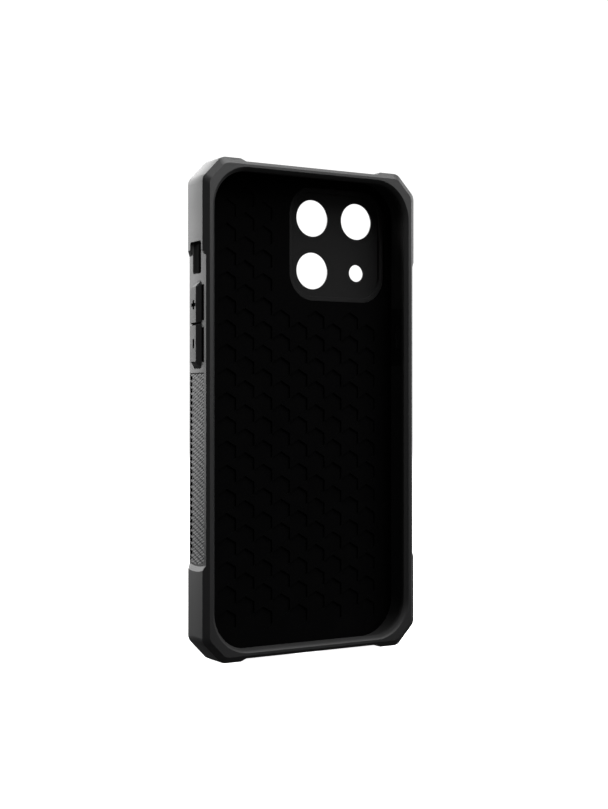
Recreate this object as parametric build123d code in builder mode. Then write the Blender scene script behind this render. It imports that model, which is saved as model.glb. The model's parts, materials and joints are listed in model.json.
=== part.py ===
from build123d import *
import os

# A rugged phone case, standing on its lower bumpers with the screen side facing -Y.
# +X is to the right seen from the front, +Z is up, and the origin is at the middle of the
# base. A soft perimeter frame carries a front lip and four corner bumpers. A hard back
# panel, a cushion, a camera guard, two side grips and three sprung button caps fit into it.

os.makedirs("parts", exist_ok=True)

# ---- driving dimensions, in millimetres ----------------------------------------------

# The phone that the case holds
PHONE_WIDTH = 77.6
PHONE_HEIGHT = 160.7
PHONE_DEPTH = 7.85
PHONE_RADIUS = 13.0

# The outside, over the bumpers
CASE_WIDTH = 84.4
CASE_HEIGHT = 166.4
CASE_DEPTH = 14.1
CORNER_CUT_X = 7.1
CORNER_CUT_Z = 7.35
CORNER_FILLET = 3.6
FRONT_BEVEL = 2.02
FRONT_BEVEL_DEEP = 1.45
BACK_BEVEL = 2.9
BACK_BEVEL_DEEP = 2.3

# The rails between the bumpers lie lower; each side rail ends in a curved slope and each
# end rail in a straight one
RAIL_DROP = 0.98
SIDE_RAIL_HALF = 51.4
SIDE_SLOPE = 1.6
SLOPE_SAG = 1.3
SLOPE_REACH = 8.0
SLOPE_PAST = 1.5
END_RAIL_HALF = 26.2
END_SLOPE_HALF = 27.9

# The front lip and the bay behind it
LIP_SIDE = 1.15
LIP_END = 0.87
LIP_RADIUS = 13.5
LIP_CHAMFER_IN = 1.18
LIP_CHAMFER_DEEP = 1.35
LIP_LAND = 1.4
BAY_GAP = 0.2
FIT = 0.05
THROUGH = 4.0
BAY_DEPTH = PHONE_DEPTH + 0.05

# The layers behind the phone
PAD_THICK = 1.3
LEDGE_THICK = 1.0
LEDGE_WIDTH = 1.6
PANEL_INSET = 4.0
PANEL_SKIN = 0.65
FIELD_RISE = 0.4

# Camera window, measured on the phone's upper right seen from the front
CAMERA_X = 16.2
CAMERA_Z = 57.8
CAMERA_WIDTH = 39.8
CAMERA_HEIGHT = 39.6
CAMERA_RADIUS = 9.5
LENS_RADIUS = 6.4
LENS_PITCH = 18.4
SENSOR_RADIUS = 3.0

# Openings through the end rails for the plug, the speaker and the microphones
PORT_WIDTH = 13.2
PORT_HEIGHT = 6.6
SOUND_X = 19.0
SOUND_WIDTH = 14.0
SOUND_HEIGHT = 2.8
MICROPHONE_X = 12.0
MICROPHONE_RADIUS = 1.0
PORT_START = 1.0

# Window for the ring switch, in the upper left side; it flares forward through the bumper
SWITCH_FRONT = -2.85
SWITCH_FLARE = -4.75
SWITCH_BACK = 3.15
SWITCH_MID = 50.1
SWITCH_LENGTH = 10.5
SWITCH_RADIUS = 0.8

# Buttons: outline across the side (Y) and the layers through it (X)
CAP_FRONT = -3.1
CAP_BACK = 3.95
CAP_PROUD = 1.46
CAP_FACET_FRONT = 1.3
CAP_FACET_BACK = 1.5
CAP_GAP = 0.15
FACE_CUT_SHARE = 0.3
FLANGE_LIP = 0.6
FLANGE_THICK = 0.45
RETAINER_THICK = 0.25
PAD_FOAM_THICK = 0.5
NUB_OUT = 0.4
GROOVE_FRONT = -4.9
MARK_LENGTH = 3.0
MARK_WIDTH = 1.1
MARK_DEPTH = 0.9
MARK_Y = -0.15
RIDGE_COUNT = 4
RIDGE_PITCH = 2.4
RIDGE_WIDTH = 0.5

# Side grips: a strip let into each rail, with slanting rounded ribs that each carry a thin
# bead along the crest, and a row of pockets
GRIP_FRONT = -4.9
GRIP_BACK = 5.0
GRIP_LOW = -50.0
GRIP_HIGH = 12.2
GRIP_SAG = 0.75
GRIP_DEPTH = 0.8
GRIP_SLIT = 0.3
RIB_PITCH = 2.06
RIB_ANGLE = 23
RIB_RADIUS = 4.0
RIB_FOOT = 0.24
BEAD_RADIUS = 0.35
BEAD_RISE = 0.12
POCKET_RADIUS = 0.72
POCKET_Y = 4.5
POCKET_TOP = 10.55
POCKET_FLOOR = 0.1

# ---- places worked out from them -----------------------------------------------------

MID_Z = CASE_HEIGHT / 2
FRONT_Y = -CASE_DEPTH / 2
BACK_Y = CASE_DEPTH / 2
BUMPER_X = CASE_WIDTH / 2
BUMPER_Z = CASE_HEIGHT / 2
RAIL_X = BUMPER_X - RAIL_DROP
RAIL_Z = BUMPER_Z - RAIL_DROP

LIP_X = BUMPER_X - FRONT_BEVEL - LIP_SIDE
LIP_Z = BUMPER_Z - FRONT_BEVEL - LIP_END
OPENING_X = LIP_X - LIP_CHAMFER_IN
OPENING_Z = LIP_Z - LIP_CHAMFER_IN
OPENING_RADIUS = LIP_RADIUS - LIP_CHAMFER_IN
BEVEL_Y = FRONT_Y + FRONT_BEVEL_DEEP
BACK_BEVEL_Y = BACK_Y - BACK_BEVEL_DEEP
CHAMFER_Y = FRONT_Y + LIP_CHAMFER_DEEP

BAY_Y = CHAMFER_Y + LIP_LAND
BAY_X = PHONE_WIDTH / 2 + BAY_GAP
BAY_Z = PHONE_HEIGHT / 2 + BAY_GAP
BAY_RADIUS = PHONE_RADIUS + BAY_GAP
PAD_Y = BAY_Y + BAY_DEPTH
LEDGE_Y = PAD_Y + PAD_THICK
PANEL_Y = LEDGE_Y + LEDGE_THICK
SKIN_Y = PANEL_Y + PANEL_SKIN
PHONE_MID_Y = BAY_Y + PHONE_DEPTH / 2

LEDGE_X = BAY_X - LEDGE_WIDTH
LEDGE_Z = BAY_Z - LEDGE_WIDTH
LEDGE_RADIUS = BAY_RADIUS - LEDGE_WIDTH
PANEL_X = BUMPER_X - PANEL_INSET
PANEL_Z = BUMPER_Z - PANEL_INSET
PANEL_RADIUS = 12.8

RETAINER_X = BAY_X + RETAINER_THICK
FLANGE_IN_X = RETAINER_X + PAD_FOAM_THICK
FLANGE_OUT_X = FLANGE_IN_X + FLANGE_THICK
POCKET_X = FLANGE_OUT_X + 2 * FIT
GRIP_FLOOR_X = RAIL_X - GRIP_DEPTH

# Cuts at the two corners of a cap's end, front then back, each (across, along)
PLAIN_END = ((0.2, 0.2), (0.2, 0.2))
TAPERED_END = ((0.6, 1.4), (2.1, 2.1))
LEANING_END = ((0.6, 0.9), (5.0, 2.4))

# Each cap: its side, its ends along Z about the middle, the length of the facet and the
# corner cuts at the lower and upper end, the groove beside it and its mark
CAPS = {
    "volume_up_button": {
        "side": -1, "low": 28.55, "high": 42.25, "facets": (0.15, 1.85),
        "cuts": (PLAIN_END, LEANING_END), "groove": (29.4, 41.1), "mark": "plus",
    },
    "volume_down_button": {
        "side": -1, "low": 13.75, "high": 28.4, "facets": (2.1, 0.7),
        "cuts": (TAPERED_END, PLAIN_END), "groove": (15.7, 27.1), "mark": "bar",
    },
    "power_button": {
        "side": 1, "low": 16.4, "high": 35.4, "facets": (1.85, 1.85),
        "cuts": (TAPERED_END, TAPERED_END), "groove": (18.0, 33.8), "mark": "ridge",
    },
}
SIDES = {-1: "left", 1: "right"}


def face_plane(y):
    """Plane across the case at depth y: local x is X, local y is Z about mid-height."""
    return Plane(origin=(0, y, MID_Z), x_dir=(1, 0, 0), z_dir=(0, -1, 0))


def side_plane(x):
    """Plane along a side of the case at x: local x is Y, local y is Z about mid-height."""
    return Plane(origin=(x, 0, MID_Z), x_dir=(0, 1, 0), z_dir=(1, 0, 0))


def end_plane(z):
    """Plane across the end of the case at z about mid-height: local x is X, local y is Y."""
    return Plane(origin=(0, 0, MID_Z + z), x_dir=(1, 0, 0), z_dir=(0, 0, 1))


def cut_bar(front, back, low, high, low_cuts, high_cuts):
    """Corners of an upright bar with its four corners cut off."""
    (low_front, low_back), (high_front, high_back) = low_cuts, high_cuts
    return [
        (front, low + low_front[1]),
        (front + low_front[0], low),
        (back - low_back[0], low),
        (back, low + low_back[1]),
        (back, high - high_back[1]),
        (back - high_back[0], high),
        (front + high_front[0], high),
        (front, high - high_front[1]),
    ]


def box_sketch(front, back, low, high):
    """A plain rectangle in the open sketch, given by its edges."""
    with Locations(((front + back) / 2, (low + high) / 2)):
        Rectangle(back - front, high - low)


def cap_ends(side):
    """Lowest and highest end of the caps on one side."""
    lows = [cap["low"] for cap in CAPS.values() if cap["side"] == side]
    highs = [cap["high"] for cap in CAPS.values() if cap["side"] == side]
    return min(lows), max(highs)


def case_outline(inset):
    """Outline of the case set in all round by inset, in the open sketch."""
    slant = (CORNER_CUT_X**2 + CORNER_CUT_Z**2) ** 0.5
    cut_x = CORNER_CUT_X - inset * (1 - (slant - CORNER_CUT_X) / CORNER_CUT_Z)
    cut_z = CORNER_CUT_Z - inset * (1 - (slant - CORNER_CUT_Z) / CORNER_CUT_X)
    x = BUMPER_X - inset
    z = BUMPER_Z - inset
    cuts = ((cut_x, cut_z), (cut_x, cut_z))
    outline = Polygon(*cut_bar(-x, x, -z, z, cuts, cuts), align=None)
    fillet(outline.vertices(), CORNER_FILLET)


# Outline of a side grip, whose lower end follows the curved slope of the rail
with BuildSketch() as strip_outline:
    with BuildLine():
        middle = (GRIP_FRONT + GRIP_BACK) / 2
        ThreePointArc((GRIP_FRONT, GRIP_LOW), (middle, GRIP_LOW - GRIP_SAG), (GRIP_BACK, GRIP_LOW))
        Polyline(
            (GRIP_BACK, GRIP_LOW),
            (GRIP_BACK, GRIP_HIGH),
            (GRIP_FRONT, GRIP_HIGH),
            (GRIP_FRONT, GRIP_LOW),
        )
    make_face()


# ---- bumper frame --------------------------------------------------------------------

with BuildPart() as bumper_frame:
    # Octagonal block with bevelled front and back edges
    with BuildSketch(face_plane(BACK_BEVEL_Y)):
        case_outline(0)
    extrude(amount=BACK_BEVEL_Y - BEVEL_Y)
    with BuildSketch(face_plane(BEVEL_Y)):
        case_outline(0)
    with BuildSketch(face_plane(FRONT_Y)):
        case_outline(FRONT_BEVEL)
    loft(ruled=True)
    with BuildSketch(face_plane(BACK_BEVEL_Y)):
        case_outline(0)
    with BuildSketch(face_plane(BACK_Y)):
        case_outline(BACK_BEVEL)
    loft(ruled=True)

    # Side rails: cut back between the bumpers, with a curved slope at each end. Each cut
    # widens outwards and runs past the bumpers' face by half the drop
    for side in SIDES:
        for rise in (0, SLOPE_PAST):
            with BuildSketch(side_plane(side * (RAIL_X + rise * RAIL_DROP))):
                with BuildLine():
                    half = SIDE_RAIL_HALF + rise * SIDE_SLOPE
                    corner = half - SLOPE_SAG
                    ThreePointArc((-SLOPE_REACH, corner), (0, half), (SLOPE_REACH, corner))
                    Line((SLOPE_REACH, corner), (SLOPE_REACH, -corner))
                    ThreePointArc((SLOPE_REACH, -corner), (0, -half), (-SLOPE_REACH, -corner))
                    Line((-SLOPE_REACH, -corner), (-SLOPE_REACH, corner))
                make_face()
        loft(ruled=True, mode=Mode.SUBTRACT)

    # End rails
    with BuildSketch(face_plane(BACK_Y)):
        for turn in (0, 180):
            with Locations(Rotation(0, 0, turn)):
                Polygon(
                    (-END_RAIL_HALF, RAIL_Z),
                    (END_RAIL_HALF, RAIL_Z),
                    (END_SLOPE_HALF, BUMPER_Z),
                    (END_SLOPE_HALF, BUMPER_Z + RAIL_DROP),
                    (-END_SLOPE_HALF, BUMPER_Z + RAIL_DROP),
                    (-END_SLOPE_HALF, BUMPER_Z),
                    align=None,
                )
    extrude(amount=CASE_DEPTH, mode=Mode.SUBTRACT)

    # Screen opening and the slope inside the lip
    with BuildSketch(face_plane(BAY_Y)):
        RectangleRounded(2 * OPENING_X, 2 * OPENING_Z, OPENING_RADIUS)
    extrude(amount=BAY_Y - FRONT_Y, mode=Mode.SUBTRACT)
    with BuildSketch(face_plane(CHAMFER_Y)):
        RectangleRounded(2 * OPENING_X, 2 * OPENING_Z, OPENING_RADIUS)
    with BuildSketch(face_plane(FRONT_Y)):
        RectangleRounded(2 * LIP_X, 2 * LIP_Z, LIP_RADIUS)
    loft(ruled=True, mode=Mode.SUBTRACT)

    # Bay for the phone and the cushion, the ledge's opening and the panel's recess
    with BuildSketch(face_plane(LEDGE_Y)):
        RectangleRounded(2 * BAY_X, 2 * BAY_Z, BAY_RADIUS)
    extrude(amount=LEDGE_Y - BAY_Y, mode=Mode.SUBTRACT)
    with BuildSketch(face_plane(PANEL_Y)):
        RectangleRounded(2 * LEDGE_X, 2 * LEDGE_Z, LEDGE_RADIUS)
    extrude(amount=LEDGE_THICK, mode=Mode.SUBTRACT)
    with BuildSketch(face_plane(BACK_Y)):
        RectangleRounded(2 * PANEL_X, 2 * PANEL_Z, PANEL_RADIUS)
    extrude(amount=BACK_Y - PANEL_Y, mode=Mode.SUBTRACT)

    # Ring switch window in the upper left side, wider where it leaves the bumper
    with BuildSketch(side_plane(-BAY_X)):
        with Locations(((SWITCH_FRONT + SWITCH_BACK) / 2, SWITCH_MID)):
            RectangleRounded(SWITCH_BACK - SWITCH_FRONT, SWITCH_LENGTH, SWITCH_RADIUS)
    extrude(amount=-THROUGH, mode=Mode.SUBTRACT)
    with BuildSketch(side_plane(-RAIL_X)):
        with Locations(((SWITCH_FLARE + SWITCH_BACK) / 2, SWITCH_MID)):
            RectangleRounded(SWITCH_BACK - SWITCH_FLARE, SWITCH_LENGTH, SWITCH_RADIUS)
    extrude(amount=-THROUGH, mode=Mode.SUBTRACT)

    # Windows for the caps, the grooves in front of them and the pockets for their flanges
    for cap in CAPS.values():
        side = cap["side"]
        with BuildSketch(side_plane(side * RETAINER_X)):
            window = cut_bar(
                CAP_FRONT - CAP_GAP,
                CAP_BACK + CAP_GAP,
                cap["low"] - CAP_GAP,
                cap["high"] + CAP_GAP,
                *cap["cuts"],
            )
            Polygon(*window, align=None)
            box_sketch(GROOVE_FRONT, CAP_FRONT, *cap["groove"])
        extrude(amount=side * THROUGH, mode=Mode.SUBTRACT)
    for side in SIDES:
        low, high = cap_ends(side)
        reach = FLANGE_LIP + CAP_GAP
        with BuildSketch(side_plane(side * BAY_X)):
            box_sketch(GROOVE_FRONT, CAP_BACK + reach, low - reach, high + reach)
        extrude(amount=side * (POCKET_X - BAY_X), mode=Mode.SUBTRACT)

    # Recesses for the side grips
    for side in SIDES:
        with BuildSketch(side_plane(side * GRIP_FLOOR_X)):
            add(strip_outline.sketch)
        extrude(amount=side * THROUGH, mode=Mode.SUBTRACT)

    # Charging port, speaker and microphone openings through the lower rail
    with BuildSketch(end_plane(PORT_START - BAY_Z)):
        with Locations((0, PHONE_MID_Y)):
            SlotOverall(PORT_WIDTH, PORT_HEIGHT)
        for side in SIDES:
            with Locations((side * SOUND_X, PHONE_MID_Y)):
                SlotOverall(SOUND_WIDTH, SOUND_HEIGHT)
    extrude(amount=-THROUGH, mode=Mode.SUBTRACT)
    # Noise microphone hole through the upper rail
    with BuildSketch(end_plane(BAY_Z - PORT_START)):
        with Locations((MICROPHONE_X, PHONE_MID_Y)):
            Circle(MICROPHONE_RADIUS)
    extrude(amount=THROUGH, mode=Mode.SUBTRACT)

bumper_frame.part.label = "bumper_frame"
export_step(bumper_frame.part, "parts/bumper_frame.step")


# ---- back panel ----------------------------------------------------------------------

FIELD_X = 31.0
FIELD_LOW = -73.0
FIELD_HIGH = 31.0
FIELD_CUT = 9.0
FIELD_END = ((FIELD_CUT, FIELD_CUT), (FIELD_CUT, FIELD_CUT))
BAR_COUNT = 14
BAR_PITCH = 7.0
BAR_X = 34.7
BAR_LOW = -62.0
BAR_LENGTH = 4.6
BAR_WIDTH = 1.5
BAR_ANGLE = 30
BAR_ROOT = 0.1
LINE_COUNT = 6
LINE_PITCH = 3.2
LINE_LOW = -66.0
LINE_LONGEST = 36.0
LINE_STEP = 4.0
LINE_WIDTH = 1.0
LINE_DEPTH = 0.25
GUARD_STEP = 0.8
GUARD_STEP_Y = LEDGE_Y + 0.6

with BuildPart() as back_panel:
    with BuildSketch(face_plane(SKIN_Y)):
        RectangleRounded(2 * PANEL_X, 2 * PANEL_Z, PANEL_RADIUS)
    extrude(amount=PANEL_SKIN)
    with BuildSketch(face_plane(PANEL_Y)):
        RectangleRounded(2 * (LEDGE_X - FIT), 2 * (LEDGE_Z - FIT), LEDGE_RADIUS - FIT)
    extrude(amount=LEDGE_THICK)

    # Raised field in the middle with sloped edges
    with BuildSketch(face_plane(SKIN_Y)):
        foot = cut_bar(-FIELD_X, FIELD_X, FIELD_LOW, FIELD_HIGH, FIELD_END, FIELD_END)
        Polygon(*foot, align=None)
    with BuildSketch(face_plane(SKIN_Y + FIELD_RISE)):
        top = cut_bar(
            FIELD_RISE - FIELD_X,
            FIELD_X - FIELD_RISE,
            FIELD_LOW + FIELD_RISE,
            FIELD_HIGH - FIELD_RISE,
            FIELD_END,
            FIELD_END,
        )
        Polygon(*top, align=None)
    loft(ruled=True)

    # Slanting grip bars down both edges of the field
    with BuildSketch(face_plane(SKIN_Y + FIELD_RISE)):
        for side in SIDES:
            for step in range(BAR_COUNT):
                with Locations((side * BAR_X, BAR_LOW + BAR_PITCH * step)):
                    SlotOverall(BAR_LENGTH, BAR_WIDTH, rotation=side * BAR_ANGLE)
    extrude(amount=FIELD_RISE + BAR_ROOT)

    # Shallow grooves across the foot of the field
    with BuildSketch(face_plane(SKIN_Y + FIELD_RISE)):
        for step in range(LINE_COUNT):
            with Locations((0, LINE_LOW + LINE_PITCH * step)):
                SlotOverall(LINE_LONGEST - LINE_STEP * step, LINE_WIDTH)
    extrude(amount=LINE_DEPTH, mode=Mode.SUBTRACT)

    # Stepped camera window
    with BuildSketch(face_plane(BACK_Y)):
        with Locations((CAMERA_X, CAMERA_Z)):
            RectangleRounded(
                CAMERA_WIDTH - 2 * GUARD_STEP,
                CAMERA_HEIGHT - 2 * GUARD_STEP,
                CAMERA_RADIUS - GUARD_STEP,
            )
    extrude(amount=BACK_Y - LEDGE_Y, mode=Mode.SUBTRACT)
    with BuildSketch(face_plane(GUARD_STEP_Y)):
        with Locations((CAMERA_X, CAMERA_Z)):
            RectangleRounded(CAMERA_WIDTH, CAMERA_HEIGHT, CAMERA_RADIUS)
    extrude(amount=GUARD_STEP_Y - LEDGE_Y, mode=Mode.SUBTRACT)

back_panel.part.label = "back_panel"
export_step(back_panel.part, "parts/back_panel.step")


# ---- inner cushion -------------------------------------------------------------------

CELL_RADIUS = 4.0
CELL_WALL = 1.2
CELL_DEPTH = 0.5
CELL_PITCH = (CELL_RADIUS * 3**0.5 + CELL_WALL) / 2
CELL_MARGIN = 3.5
CELLS_ACROSS = 11
CELLS_UP = 19


def in_field(x, z):
    """True where a cell stays inside the cushion's edge and clear of the camera window."""
    reach = CELL_RADIUS + CELL_MARGIN / 2
    corner_x = max(abs(x) - (BAY_X - BAY_RADIUS), 0)
    corner_z = max(abs(z) - (BAY_Z - BAY_RADIUS), 0)
    inside = (corner_x**2 + corner_z**2) ** 0.5 < BAY_RADIUS - reach
    beside = abs(x - CAMERA_X) > CAMERA_WIDTH / 2 + reach
    below = abs(z - CAMERA_Z) > CAMERA_HEIGHT / 2 + reach
    return inside and (beside or below)


with BuildPart() as inner_cushion:
    with BuildSketch(face_plane(LEDGE_Y)):
        RectangleRounded(2 * (BAY_X - FIT), 2 * (BAY_Z - FIT), BAY_RADIUS - FIT)
        with Locations((CAMERA_X, CAMERA_Z)):
            RectangleRounded(
                CAMERA_WIDTH, CAMERA_HEIGHT, CAMERA_RADIUS, mode=Mode.SUBTRACT
            )
    extrude(amount=PAD_THICK)
    # Honeycomb cells in the face that touches the phone
    with BuildSketch(face_plane(PAD_Y)):
        with HexLocations(CELL_PITCH, CELLS_ACROSS, CELLS_UP, major_radius=False) as cells:
            spots = [spot.position for spot in cells.local_locations]
        with Locations([(p.X, p.Y) for p in spots if in_field(p.X, p.Y)]):
            RegularPolygon(CELL_RADIUS, 6, rotation=30)
    extrude(amount=-CELL_DEPTH, mode=Mode.SUBTRACT)

inner_cushion.part.label = "inner_cushion"
export_step(inner_cushion.part, "parts/inner_cushion.step")


# ---- camera guard --------------------------------------------------------------------

GUARD_WALL = 1.6
GUARD_CHAMFER = 0.3
DISH_WALL = GUARD_WALL + 0.6
WEB_FRONT_Y = PANEL_Y + 0.1
WEB_BACK_Y = WEB_FRONT_Y + 0.75
LENS_SPOTS = [(-1, 1), (-1, -1), (1, 1)]

with BuildPart() as camera_guard:
    with BuildSketch(face_plane(BACK_Y)):
        with Locations((CAMERA_X, CAMERA_Z)):
            RectangleRounded(
                CAMERA_WIDTH - 2 * (GUARD_STEP + FIT),
                CAMERA_HEIGHT - 2 * (GUARD_STEP + FIT),
                CAMERA_RADIUS - GUARD_STEP - FIT,
            )
    extrude(amount=BACK_Y - LEDGE_Y)
    chamfer(camera_guard.faces().sort_by(Axis.Y)[-1].edges(), GUARD_CHAMFER)
    with BuildSketch(face_plane(GUARD_STEP_Y)):
        with Locations((CAMERA_X, CAMERA_Z)):
            RectangleRounded(CAMERA_WIDTH - 2 * FIT, CAMERA_HEIGHT - 2 * FIT, CAMERA_RADIUS - FIT)
    extrude(amount=GUARD_STEP_Y - LEDGE_Y)
    # Hollow for the phone's camera plateau, and the shallow dish behind
    with BuildSketch(face_plane(WEB_FRONT_Y)):
        with Locations((CAMERA_X, CAMERA_Z)):
            RectangleRounded(
                CAMERA_WIDTH - 2 * GUARD_WALL,
                CAMERA_HEIGHT - 2 * GUARD_WALL,
                CAMERA_RADIUS - GUARD_WALL,
            )
    extrude(amount=WEB_FRONT_Y - LEDGE_Y, mode=Mode.SUBTRACT)
    with BuildSketch(face_plane(BACK_Y)):
        with Locations((CAMERA_X, CAMERA_Z)):
            RectangleRounded(
                CAMERA_WIDTH - 2 * DISH_WALL,
                CAMERA_HEIGHT - 2 * DISH_WALL,
                CAMERA_RADIUS - DISH_WALL,
            )
    extrude(amount=BACK_Y - WEB_BACK_Y, mode=Mode.SUBTRACT)
    # Three lens holes and one for the lamp and sensor
    with BuildSketch(face_plane(BACK_Y)):
        for across, up in LENS_SPOTS:
            with Locations(
                (CAMERA_X + across * LENS_PITCH / 2, CAMERA_Z + up * LENS_PITCH / 2)
            ):
                Circle(LENS_RADIUS)
        with Locations((CAMERA_X + LENS_PITCH / 2, CAMERA_Z - LENS_PITCH / 2)):
            Circle(SENSOR_RADIUS)
    extrude(amount=BACK_Y - LEDGE_Y, mode=Mode.SUBTRACT)

camera_guard.part.label = "camera_guard"
export_step(camera_guard.part, "parts/camera_guard.step")


# ---- side grips ----------------------------------------------------------------------

RIB_SLANT = Vector(1, 0).rotate(Axis.Z, RIB_ANGLE)
RIBS_ABOVE = 3
RIBS_BELOW = int((GRIP_HIGH - GRIP_LOW) / RIB_PITCH) + RIBS_ABOVE
POCKET_COUNT = int((POCKET_TOP - GRIP_LOW) / RIB_PITCH)


def make_grip(side):
    """Grip strip for one side: slanting rounded ribs with a pocket between their back ends."""
    # Plane across the ribs, halfway between the first two pockets: local x is X
    rib_plane = Plane(
        origin=(0, POCKET_Y, MID_Z + POCKET_TOP + RIB_PITCH / 2),
        x_dir=(1, 0, 0),
        z_dir=(0, RIB_SLANT.X, RIB_SLANT.Y),
    )
    step_down = RIB_PITCH * RIB_SLANT.X
    with BuildPart() as grip:
        with BuildSketch(rib_plane):
            box_sketch(
                min(side * GRIP_FLOOR_X, side * (RAIL_X - RIB_FOOT)),
                max(side * GRIP_FLOOR_X, side * (RAIL_X - RIB_FOOT)),
                -RIBS_ABOVE * step_down,
                RIBS_BELOW * step_down,
            )
            for step in range(-RIBS_ABOVE, RIBS_BELOW + 1):
                with Locations((side * (RAIL_X - BEAD_RISE - RIB_RADIUS), step * step_down)):
                    Circle(RIB_RADIUS)
                with Locations((side * (RAIL_X - BEAD_RADIUS), step * step_down)):
                    Circle(BEAD_RADIUS)
        extrude(amount=GRIP_HIGH - GRIP_LOW, both=True)
        with BuildSketch(side_plane(side * GRIP_FLOOR_X)):
            add(strip_outline.sketch)
            with Locations(((GRIP_FRONT + GRIP_BACK) / 2, GRIP_HIGH)):
                Rectangle(GRIP_BACK - GRIP_FRONT, 2 * GRIP_SLIT, mode=Mode.SUBTRACT)
        extrude(amount=side * GRIP_DEPTH, mode=Mode.INTERSECT)
        with BuildSketch(side_plane(side * (GRIP_FLOOR_X + POCKET_FLOOR))):
            for step in range(POCKET_COUNT):
                with Locations((POCKET_Y, POCKET_TOP - step * RIB_PITCH)):
                    Circle(POCKET_RADIUS)
        extrude(amount=side * GRIP_DEPTH, mode=Mode.SUBTRACT)
    return grip


for side, side_name in SIDES.items():
    grip = make_grip(side)
    grip.part.label = f"grip_{side_name}"
    export_step(grip.part, f"parts/grip_{side_name}.step")


# ---- buttons -------------------------------------------------------------------------

NUB_WIDTH = 2.6
NUB_LENGTH = 8.0
NUB_GAP = 0.3
RETAINER_BACK = CAP_BACK + 0.25
FOAM_FRONT = 1.3
FOAM_BACK = 4.0
FOAM_LENGTH = 9.0


def cap_middle(cap):
    """Height of the middle of a cap about the case's mid-height."""
    return (cap["low"] + cap["high"]) / 2


def make_cap(cap):
    """Button cap: faceted outside, shank, trapping flange and the nub behind."""
    side = cap["side"]
    low_facet, high_facet = cap["facets"]
    face_x = RAIL_X + CAP_PROUD
    base = cut_bar(CAP_FRONT, CAP_BACK, cap["low"], cap["high"], *cap["cuts"])
    face_cuts = [
        [(across * FACE_CUT_SHARE, along * FACE_CUT_SHARE) for across, along in end]
        for end in cap["cuts"]
    ]
    face = cut_bar(
        CAP_FRONT + CAP_FACET_FRONT,
        CAP_BACK - CAP_FACET_BACK,
        cap["low"] + low_facet,
        cap["high"] - high_facet,
        *face_cuts,
    )
    with BuildPart() as button:
        with BuildSketch(side_plane(side * FLANGE_IN_X)):
            Polygon(*base, align=None)
        extrude(amount=side * (RAIL_X - FLANGE_IN_X))
        with BuildSketch(side_plane(side * RAIL_X)):
            Polygon(*base, align=None)
        with BuildSketch(side_plane(side * face_x)):
            Polygon(*face, align=None)
        loft(ruled=True)
        # Flange along the back edge and past the free ends
        low_end, high_end = cap["cuts"]
        low_reach = 0 if low_end == PLAIN_END else FLANGE_LIP
        high_reach = 0 if high_end == PLAIN_END else FLANGE_LIP
        with BuildSketch(side_plane(side * FLANGE_IN_X)):
            box_sketch(
                CAP_FRONT,
                CAP_BACK + FLANGE_LIP,
                cap["low"] - low_reach,
                cap["high"] + high_reach,
            )
        extrude(amount=side * FLANGE_THICK)
        # Nub that reaches through the retainer to the phone's own key
        with BuildSketch(side_plane(side * FLANGE_IN_X)):
            with Locations((PHONE_MID_Y, cap_middle(cap))):
                Rectangle(NUB_WIDTH, NUB_LENGTH)
        extrude(amount=-side * NUB_OUT)
        # Mark let into the outer face
        with BuildSketch(side_plane(side * face_x)):
            face_middle = cap_middle(cap) + (low_facet - high_facet) / 2
            with Locations((MARK_Y, face_middle)):
                if cap["mark"] == "ridge":
                    with GridLocations(0, RIDGE_PITCH, 1, RIDGE_COUNT):
                        Rectangle(MARK_LENGTH, RIDGE_WIDTH)
                else:
                    Rectangle(MARK_WIDTH, MARK_LENGTH)
                if cap["mark"] == "plus":
                    Rectangle(MARK_LENGTH, MARK_WIDTH)
        extrude(amount=-side * MARK_DEPTH, mode=Mode.SUBTRACT)
    return button


def make_foam(cap):
    """Foam block behind a cap that pushes it back out."""
    side = cap["side"]
    middle = cap_middle(cap)
    with BuildPart() as foam:
        with BuildSketch(side_plane(side * RETAINER_X)):
            box_sketch(
                FOAM_FRONT, FOAM_BACK, middle - FOAM_LENGTH / 2, middle + FOAM_LENGTH / 2
            )
        extrude(amount=side * PAD_FOAM_THICK)
    return foam


def make_retainer(side):
    """Thin strip inside the bay wall that closes the pockets, with windows for the nubs."""
    low, high = cap_ends(side)
    reach = FLANGE_LIP + CAP_GAP
    with BuildPart() as retainer:
        with BuildSketch(side_plane(side * BAY_X)):
            box_sketch(BAY_Y + FIT, RETAINER_BACK, low - reach, high + reach)
            for cap in CAPS.values():
                if cap["side"] == side:
                    with Locations((PHONE_MID_Y, cap_middle(cap))):
                        Rectangle(
                            NUB_WIDTH + 2 * NUB_GAP,
                            NUB_LENGTH + 2 * NUB_GAP,
                            mode=Mode.SUBTRACT,
                        )
        extrude(amount=side * RETAINER_THICK)
    return retainer


for name, cap in CAPS.items():
    button = make_cap(cap)
    button.part.label = name
    export_step(button.part, f"parts/{name}.step")

    foam = make_foam(cap)
    foam_name = name.replace("button", "return_pad")
    foam.part.label = foam_name
    export_step(foam.part, f"parts/{foam_name}.step")

for side, side_name in SIDES.items():
    retainer = make_retainer(side)
    retainer.part.label = f"button_retainer_{side_name}"
    export_step(retainer.part, f"parts/button_retainer_{side_name}.step")
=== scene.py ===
import json
import math

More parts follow.
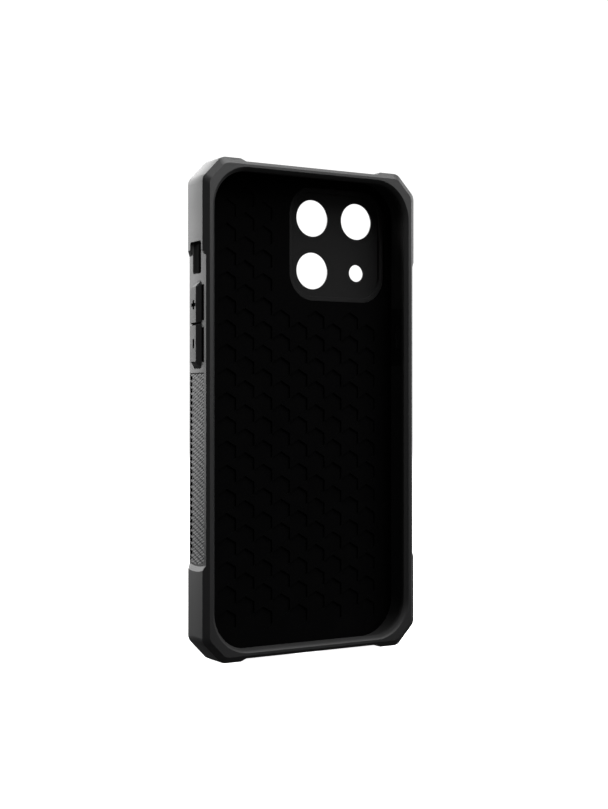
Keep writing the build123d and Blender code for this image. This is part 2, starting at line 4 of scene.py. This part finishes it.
import bpy
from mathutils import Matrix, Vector


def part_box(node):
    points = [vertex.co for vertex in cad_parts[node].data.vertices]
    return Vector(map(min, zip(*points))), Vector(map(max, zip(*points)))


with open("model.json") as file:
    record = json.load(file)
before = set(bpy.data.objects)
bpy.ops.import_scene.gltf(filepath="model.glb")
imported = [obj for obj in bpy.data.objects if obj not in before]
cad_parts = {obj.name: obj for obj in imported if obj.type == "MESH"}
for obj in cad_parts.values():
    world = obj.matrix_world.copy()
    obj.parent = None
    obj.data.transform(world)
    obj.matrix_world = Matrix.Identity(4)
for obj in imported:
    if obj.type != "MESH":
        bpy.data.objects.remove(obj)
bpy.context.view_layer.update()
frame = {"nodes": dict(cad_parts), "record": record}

MM = 0.001

# ---- the frame's own places ----------------------------------------------------------

FRAME_LOW, FRAME_HIGH = (Vector(corner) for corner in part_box("bumper_frame"))
MIDDLE = (FRAME_LOW + FRAME_HIGH) / 2
LIP_Y = FRAME_LOW.y
HALF_DEPTH = MIDDLE.y - LIP_Y
CROWN = 0.42 * MM                  # how far the side faces bulge between front and back

# The bay that the phone lies in, whose outline is the cushion's
BAY = Vector(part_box("inner_cushion")[1]) - MIDDLE
BAY_CORNER = 13.2 * MM
BAY_FRONT = 1.45 * MM              # how far behind the lip the dull inside, with painted shade, begins
BAY_DEPTH = 10.5 * MM
WALL = 1.9 * MM                    # how far into the frame's wall it reaches
SLOPE_EDGE = 0.4 * MM              # the slope inside the lip is made duller and given painted shade to within this of it
SLOPE_DULL_AND_SHADE = 0.78                  # and by this much
WEB_Y = 6.2 * MM                   # the guard is dull, with painted shade, in front of this

# The caps, by their distance from the middle of the case
SHANK_X = 41.0 * MM                # dull, with painted shade, inside of this
MARK_X = 42.6 * MM                 # the floor of the marks lies inside of this, and gets painted shade
MARK_HALF = 1.7 * MM               # half the space for a mark from front to back
CAP_END = 2.6 * MM                 # and how far it stays from the cap's ends

# ---- camera --------------------------------------------------------------------------

VIEW_ANGLE = math.radians(31.35)   # the camera stands this far round to the left
LENS = 63.3                        # this and the sensor's width in millimetres
SENSOR_WIDTH = 36
AIM_DEPTH = 0.95 * MM              # the aimed plane lies this far behind the lip
AIM_DISTANCE = 484.2 * MM
AIM_RIGHT = 3.23 * MM              # the case's middle is this far right of the axis
AIM_BELOW = 1.81 * MM              # and this far below it
CLIP_START = 10 * MM


def make_camera():
    """Level camera at the left of the case, looking at its screen side."""
    forward = Vector((math.sin(VIEW_ANGLE), math.cos(VIEW_ANGLE), 0))
    right = Vector((forward.y, -forward.x, 0))
    target = Vector((MIDDLE.x, LIP_Y + AIM_DEPTH, MIDDLE.z))
    data = bpy.data.cameras.new("camera")
    data.lens = LENS
    data.sensor_width = SENSOR_WIDTH
    data.clip_start = CLIP_START
    camera = bpy.data.objects.new("camera", data)
    camera.location = target - AIM_DISTANCE * forward - AIM_RIGHT * right
    camera.location.z += AIM_BELOW
    camera.rotation_euler = (math.radians(90), 0, -VIEW_ANGLE)
    bpy.context.scene.collection.objects.link(camera)
    bpy.context.scene.camera = camera


# ---- node helpers --------------------------------------------------------------------

# The Mix node's colour sockets share their names with its other sockets
MIX_FIRST, MIX_SECOND, MIX_RESULT = 6, 7, 2
RAMP_ENDS = (0.3, 0.7)             # where a ramp is still dark and where it is light
# The near-black of painted shade, put on hollows and recesses where a mask is 1
PAINTED_SHADE_BLACK = (0.001, 0.001, 0.0011)


class Nodes:
    """Short calls for building one material's node tree."""

    def __init__(self, name):
        self.material = bpy.data.materials.new(name)
        self.material.use_nodes = True
        self.tree = self.material.node_tree
        self.shader = self.tree.nodes["Principled BSDF"]
        self.place = self.tree.nodes.new("ShaderNodeTexCoord").outputs["Object"]

    def link(self, source, target):
        self.tree.links.new(source, target)

    def math(self, operation, first, second=0.0, third=0.0, clamp=False):
        """One Math node; each input is a number or a socket."""
        node = self.tree.nodes.new("ShaderNodeMath")
        node.operation = operation
        node.use_clamp = clamp
        for socket, value in zip(node.inputs, (first, second, third)):
            if hasattr(value, "is_output"):
                self.link(value, socket)
            else:
                socket.default_value = value
        return node.outputs[0]

    def noise(self, size, detail=2.0):
        """Noise from 0 to 1 whose grains are about size across, in metres."""
        mapping = self.tree.nodes.new("ShaderNodeMapping")
        mapping.inputs["Scale"].default_value = [1 / size] * 3
        self.link(self.place, mapping.inputs["Vector"])
        node = self.tree.nodes.new("ShaderNodeTexNoise")
        node.inputs["Scale"].default_value = 1.0
        node.inputs["Detail"].default_value = detail
        self.link(mapping.outputs["Vector"], node.inputs["Vector"])
        return node.outputs["Fac"]

    def cells(self, size):
        """Distance to the nearest of scattered points, for a pebbled surface."""
        node = self.tree.nodes.new("ShaderNodeTexVoronoi")
        node.inputs["Scale"].default_value = 1 / size
        self.link(self.place, node.inputs["Vector"])
        return node.outputs["Distance"]

    def axis(self, letter):
        """X, Y or Z of the surface point, in metres in the part's own frame."""
        node = self.tree.nodes.new("ShaderNodeSeparateXYZ")
        self.link(self.place, node.inputs["Vector"])
        return node.outputs[letter]

    def past(self, value, middle, half):
        """How far value lies from middle beyond half, or 0 within it."""
        away = self.math("ABSOLUTE", self.math("SUBTRACT", value, middle))
        return self.math("MAXIMUM", self.math("SUBTRACT", away, half), 0.0)

    def below(self, value, edge, fade=0.1 * MM):
        """1 where value is under edge and 0 where it is over, with a short fade between."""
        return self.math("MULTIPLY_ADD", value, -1 / fade, 0.5 + edge / fade, clamp=True)

    def lines(self, pitch, angle):
        """Even lines across a side face, pitch apart, tilted by angle from level."""
        along = self.math("MULTIPLY", self.axis("Y"), -math.sin(angle))
        up = self.math("MULTIPLY_ADD", self.axis("Z"), math.cos(angle), along)
        wave = self.math("SINE", self.math("MULTIPLY", up, 2 * math.pi / pitch))
        return self.math("MULTIPLY_ADD", wave, 0.5, 0.5)

    def spread(self, value, low, high):
        """A 0 to 1 value mapped on to low to high."""
        return self.math("MULTIPLY_ADD", value, high - low, low)

    def ramp(self, fac, dark, light):
        """Colour that turns from dark to light over the middle part of fac's range."""
        node = self.tree.nodes.new("ShaderNodeValToRGB")
        for end, position, colour in zip(node.color_ramp.elements, RAMP_ENDS, (dark, light)):
            end.position = position
            end.color = (*colour, 1)
        self.link(fac, node.inputs["Fac"])
        return node.outputs["Color"]

    def colour(self, fac, dark, light):
        """Blend of two grey-black colours, into the shader."""
        self.link(self.ramp(fac, dark, light), self.shader.inputs["Base Color"])

    def rough(self, fac, low, high):
        """Roughness from low to high, into the shader."""
        self.link(self.spread(fac, low, high), self.shader.inputs["Roughness"])

    def shade(self, inside, fac, dark, light, low, high):
        """Colour and roughness as usual, but dull and coloured with black painted shade where
        inside is 1.
        """
        mix = self.tree.nodes.new("ShaderNodeMix")
        mix.data_type = "RGBA"
        self.link(inside, mix.inputs["Factor"])
        self.link(self.ramp(fac, dark, light), mix.inputs[MIX_FIRST])
        mix.inputs[MIX_SECOND].default_value = (*PAINTED_SHADE_BLACK, 1)
        self.link(mix.outputs[MIX_RESULT], self.shader.inputs["Base Color"])
        rough = self.spread(fac, low, high)
        gap = self.math("SUBTRACT", 1.0, rough)
        self.link(self.math("MULTIPLY_ADD", inside, gap, rough), self.shader.inputs["Roughness"])

    def relief(self, height, depth, strength=1.0):
        """Bump node of the given depth in metres."""
        node = self.tree.nodes.new("ShaderNodeBump")
        node.inputs["Distance"].default_value = depth
        node.inputs["Strength"].default_value = strength
        self.link(height, node.inputs["Height"])
        return node

    def bump(self, height, depth, strength, crowned=False):
        """Fine bump into the shader, over side faces that are flat or, crowned, bulge a little."""
        fine = self.relief(height, depth, strength)
        if crowned:
            across = self.math("DIVIDE", self.axis("Y"), HALF_DEPTH)
            bulge = self.math("SUBTRACT", 1.0, self.math("MULTIPLY", across, across))
            self.link(self.relief(bulge, CROWN).outputs["Normal"], fine.inputs["Normal"])
        self.link(fine.outputs["Normal"], self.shader.inputs["Normal"])

    def set(self, **values):
        """Constants straight on to the shader's sockets."""
        for name, value in values.items():
            self.shader.inputs[name.replace("_", " ")].default_value = value


# ---- materials -----------------------------------------------------------------------

RIB_ANGLE = math.radians(23)       # tilt of the grips' moulded ribs
HATCH_PITCH = 0.948 * MM           # half the distance from rib to rib
RISING_SHARE = 0.35                # height of the rising lines against the falling ones
GRAIN_SHARE = 0.2                  # and of the rubber's grain


def soft_frame():
    """Satin black moulded TPU with a fine spark-eroded texture, dull and coloured with black
    painted shade inside the bay, and partly so on the slope inside the lip.
    """
    n = Nodes("soft_frame")
    cloud = n.noise(14 * MM, detail=3)
    grain = n.noise(0.28 * MM)
    across = n.past(n.axis("X"), MIDDLE.x, BAY.x - BAY_CORNER)
    up = n.past(n.axis("Z"), MIDDLE.z, BAY.z - BAY_CORNER)
    out = n.math("SQRT", n.math("MULTIPLY_ADD", across, across, n.math("MULTIPLY", up, up)))
    # Painted shade: the bay's inner walls, behind the lip and into the frame's wall, are coloured
    # near-black
    near = n.below(out, BAY_CORNER + WALL)
    behind = n.past(n.axis("Y"), LIP_Y + BAY_FRONT + BAY_DEPTH / 2, 0.0)
    deep = n.below(behind, BAY_DEPTH / 2)
    # Partly painted shade: the slope inside the lip is darkened, as well as made duller, towards
    # the bay
    slope = n.below(out, BAY_CORNER - SLOPE_EDGE, fade=3 * SLOPE_EDGE)
    dulled_and_shaded = n.math("MULTIPLY", slope, SLOPE_DULL_AND_SHADE)
    inside = n.math("MAXIMUM", n.math("MULTIPLY", near, deep), dulled_and_shaded)
    n.shade(inside, cloud, (0.0050, 0.0050, 0.0054), (0.0070, 0.0070, 0.0075), 0.40, 0.50)
    n.set(IOR=1.5)
    n.bump(grain, 0.02 * MM, 0.35, crowned=True)
    return n.material


def hard_panel():
    """Matt polycarbonate with a denser pebble than the frame."""
    n = Nodes("hard_panel")
    cloud = n.noise(20 * MM, detail=3)
    n.colour(cloud, (0.010, 0.010, 0.011), (0.014, 0.014, 0.015))
    n.rough(cloud, 0.50, 0.62)
    n.set(IOR=1.55)
    n.bump(n.cells(0.5 * MM), 0.02 * MM, 0.5)
    return n.material


def cushion():
    """Dull black inside, with a faint velvet-like grain."""
    n = Nodes("cushion")
    cloud = n.noise(9 * MM)
    n.colour(cloud, (0.0006, 0.0006, 0.0007), (0.0011, 0.0011, 0.0012))
    n.rough(cloud, 0.88, 0.98)
    n.set(IOR=1.3, Specular_IOR_Level=0.08)
    n.bump(n.noise(0.35 * MM), 0.03 * MM, 0.4)
    return n.material


def guard():
    """Smoother satin plastic round the lens holes, dull and coloured with black painted shade on
    the phone's side.
    """
    n = Nodes("guard")
    cloud = n.noise(10 * MM, detail=3)
    # Painted shade: the guard's side towards the phone is coloured near-black
    inside = n.below(n.axis("Y"), WEB_Y)
    n.shade(inside, cloud, (0.005, 0.005, 0.006), (0.007, 0.007, 0.008), 0.28, 0.38)
    n.set(IOR=1.5)
    n.bump(n.noise(0.2 * MM), 0.01 * MM, 0.3)
    return n.material


def grip():
    """Dull rubber with a fine cross-hatch over the moulded ribs, with painted shade along the
    troughs of the falling hatch lines and painted light along their crests.
    """
    n = Nodes("grip")
    rising = n.lines(HATCH_PITCH, RIB_ANGLE)
    falling = n.lines(HATCH_PITCH, -RIB_ANGLE)
    hatch = n.math("MULTIPLY_ADD", rising, RISING_SHARE, falling)
    height = n.math("MULTIPLY_ADD", n.noise(0.3 * MM), GRAIN_SHARE, hatch)
    # Painted shade and light: the colour follows the falling hatch lines, darker in their troughs
    # and lighter on their crests
    n.colour(falling, (0.003, 0.003, 0.0033), (0.030, 0.030, 0.032))
    n.rough(n.noise(6 * MM, detail=3), 0.42, 0.54)
    n.set(IOR=1.5)
    n.bump(height, 0.10 * MM, 0.5, crowned=True)
    return n.material


def button(name):
    """Satin plastic cap, a touch lighter than the frame, with a shank and mark that are dull and
    coloured with black painted shade.
    """
    n = Nodes(name)
    cloud = n.noise(5 * MM, detail=3)
    low, high = (Vector(corner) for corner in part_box(name))
    out = n.math("ABSOLUTE", n.axis("X"))
    # Painted shade: the shank inside the frame and the sunk floors of the marks are coloured
    # near-black
    shank = n.below(out, SHANK_X)
    sunk = n.below(out, MARK_X)
    beside = n.below(n.past(n.axis("Y"), MIDDLE.y, 0.0), MARK_HALF)
    along = n.past(n.axis("Z"), (low.z + high.z) / 2, 0.0)
    between = n.below(along, (high.z - low.z) / 2 - CAP_END)
    mark = n.math("MULTIPLY", sunk, n.math("MULTIPLY", beside, between))
    inside = n.math("MAXIMUM", shank, mark)
    n.shade(inside, cloud, (0.008, 0.008, 0.0086), (0.010, 0.010, 0.0107), 0.42, 0.52)
    n.set(IOR=1.5, Specular_IOR_Level=0.43)
    n.bump(n.noise(0.22 * MM), 0.012 * MM, 0.3, crowned=True)
    return n.material


def foam():
    """Charcoal closed-cell foam."""
    n = Nodes("foam")
    cells = n.cells(0.35 * MM)
    n.colour(cells, (0.012, 0.012, 0.013), (0.022, 0.022, 0.024))
    n.set(Roughness=0.9, IOR=1.4)
    n.bump(cells, 0.08 * MM, 0.6)
    return n.material


def retainer():
    """Thin matt film behind the caps, a darker black than the frame as painted shade for the
    grooves round them.
    """
    n = Nodes("retainer")
    cloud = n.noise(3 * MM)
    # Partly painted shade: the film is a darker black than the frame, so that the grooves round
    # the caps look shadowed
    n.colour(cloud, (0.002, 0.002, 0.002), (0.003, 0.003, 0.003))
    n.rough(cloud, 0.8, 0.95)
    n.set(IOR=1.45, Specular_IOR_Level=0.2)
    n.bump(n.noise(0.4 * MM), 0.01 * MM, 0.3)
    return n.material


# The makers of the slots that share one material; each cap has its own
MAKERS = {
    "soft_frame": soft_frame,
    "hard_panel": hard_panel,
    "cushion": cushion,
    "guard": guard,
    "grip": grip,
    "foam": foam,
    "retainer": retainer,
}

EDGE_WIDTHS = {
    "bumper_frame": 0.3 * MM,
    "back_panel": 0.12 * MM,
    "camera_guard": 0.12 * MM,
    "volume_up_button": 0.12 * MM,
    "volume_down_button": 0.12 * MM,
    "power_button": 0.12 * MM,
}
EDGE_STEPS = 3
SHARP = math.radians(28)           # edges that turn by more than this are rounded
WELD = 0.002 * MM                  # corners closer than this are joined


def dress_nodes():
    """Every CAD node gets its slot's material, and the moulded ones softened edges."""
    made = {slot: maker() for slot, maker in MAKERS.items()}
    slots = {row["node"]: row["material_slot"] for row in frame["record"]["subparts"]}
    for name, piece in frame["nodes"].items():
        material = button(name) if slots[name] == "button" else made[slots[name]]
        piece.data.materials.clear()
        piece.data.materials.append(material)
        if name in EDGE_WIDTHS:
            soften(piece, EDGE_WIDTHS[name])


def soften(piece, width):
    """Joins the mesh's split corners and rounds its sharp edges a little."""
    weld = piece.modifiers.new("weld", "WELD")
    weld.merge_threshold = WELD
    bevel = piece.modifiers.new("edge", "BEVEL")
    bevel.width = width
    bevel.segments = EDGE_STEPS
    bevel.limit_method = "ANGLE"
    bevel.angle_limit = SHARP
    bevel.use_clamp_overlap = True
    bevel.harden_normals = False


# ---- studio --------------------------------------------------------------------------

FLOOR_SIZE = 6.0
WHITE = (1, 1, 1, 1)
BACKDROP = 1.1                     # strength of the white that the camera sees
FILL = 0.07                        # strength of the world's light on the case

# Soft rectangular lights, aimed at the middle of the case. Azimuth is degrees round from
# the screen side, to the right where positive; distances and sizes are metres.
LIGHTS = {
    "key_left": {
        "azimuth": -163, "elevation": 20.5, "distance": 1.4, "size": (2.0, 1.2), "radiance": 4.1,
    },
    "high_front": {
        "azimuth": 32, "elevation": 56, "distance": 1.3, "size": (1.15, 1.2), "radiance": 5.9,
    },
    "front_right": {
        "azimuth": 30, "elevation": 24, "distance": 1.5, "size": (1.0, 1.0), "radiance": 1.85,
    },
    "left_fill": {
        "azimuth": -98, "elevation": 12, "distance": 1.5, "size": (0.7, 1.0), "radiance": 3.0,
    },
    "right_fill": {
        "azimuth": 100, "elevation": 15, "distance": 1.5, "size": (0.8, 1.0), "radiance": 3.0,
    },
    "back_right": {
        "azimuth": 150, "elevation": 22, "distance": 1.5, "size": (1.0, 1.0), "radiance": 2.0,
    },
}


def make_floor():
    """Plain pale floor under the case, which casts no light on it."""
    bpy.ops.mesh.primitive_plane_add(size=FLOOR_SIZE, location=(0, 0, FRAME_LOW.z))
    floor = bpy.context.object
    floor.name = "floor"
    n = Nodes("floor")
    n.set(Base_Color=(0.9, 0.9, 0.9, 1), Roughness=0.9)
    n.set(Emission_Color=WHITE, Emission_Strength=1.0)
    floor.data.materials.append(n.material)
    floor.visible_diffuse = False
    floor.visible_glossy = False


def make_light(name, azimuth, elevation, distance, size, radiance):
    """One of the lights, whose power follows from its radiance and size."""
    data = bpy.data.lights.new(name, "AREA")
    data.shape = "RECTANGLE"
    data.size, data.size_y = size
    data.energy = radiance * math.pi * size[0] * size[1]
    light = bpy.data.objects.new(name, data)
    around, up = math.radians(azimuth), math.radians(elevation)
    direction = Vector(
        (math.sin(around) * math.cos(up), -math.cos(around) * math.cos(up), math.sin(up))
    )
    light.location = MIDDLE + distance * direction
    light.rotation_euler = direction.to_track_quat("Z", "Y").to_euler()
    light.visible_camera = False
    bpy.context.scene.collection.objects.link(light)


def make_world():
    """White to the camera, and a dim even fill for everything else."""
    world = bpy.data.worlds.new("studio")
    world.use_nodes = True
    tree = world.node_tree
    backdrop = tree.nodes["Background"]
    fill = tree.nodes.new("ShaderNodeBackground")
    for node, strength in ((backdrop, BACKDROP), (fill, FILL)):
        node.inputs["Color"].default_value = WHITE
        node.inputs["Strength"].default_value = strength
    path = tree.nodes.new("ShaderNodeLightPath")
    mix = tree.nodes.new("ShaderNodeMixShader")
    # Its first shader lights the case, and its second is what the camera sees
    tree.links.new(path.outputs["Is Camera Ray"], mix.inputs["Fac"])
    tree.links.new(fill.outputs[0], mix.inputs[1])
    tree.links.new(backdrop.outputs[0], mix.inputs[2])
    tree.links.new(mix.outputs[0], tree.nodes["World Output"].inputs["Surface"])
    bpy.context.scene.world = world
    bpy.context.scene.view_settings.view_transform = "Standard"


def make_studio():
    """The floor, the world and all the lights."""
    make_floor()
    make_world()
    for name, settings in LIGHTS.items():
        make_light(name, **settings)


make_camera()
dress_nodes()
make_studio()
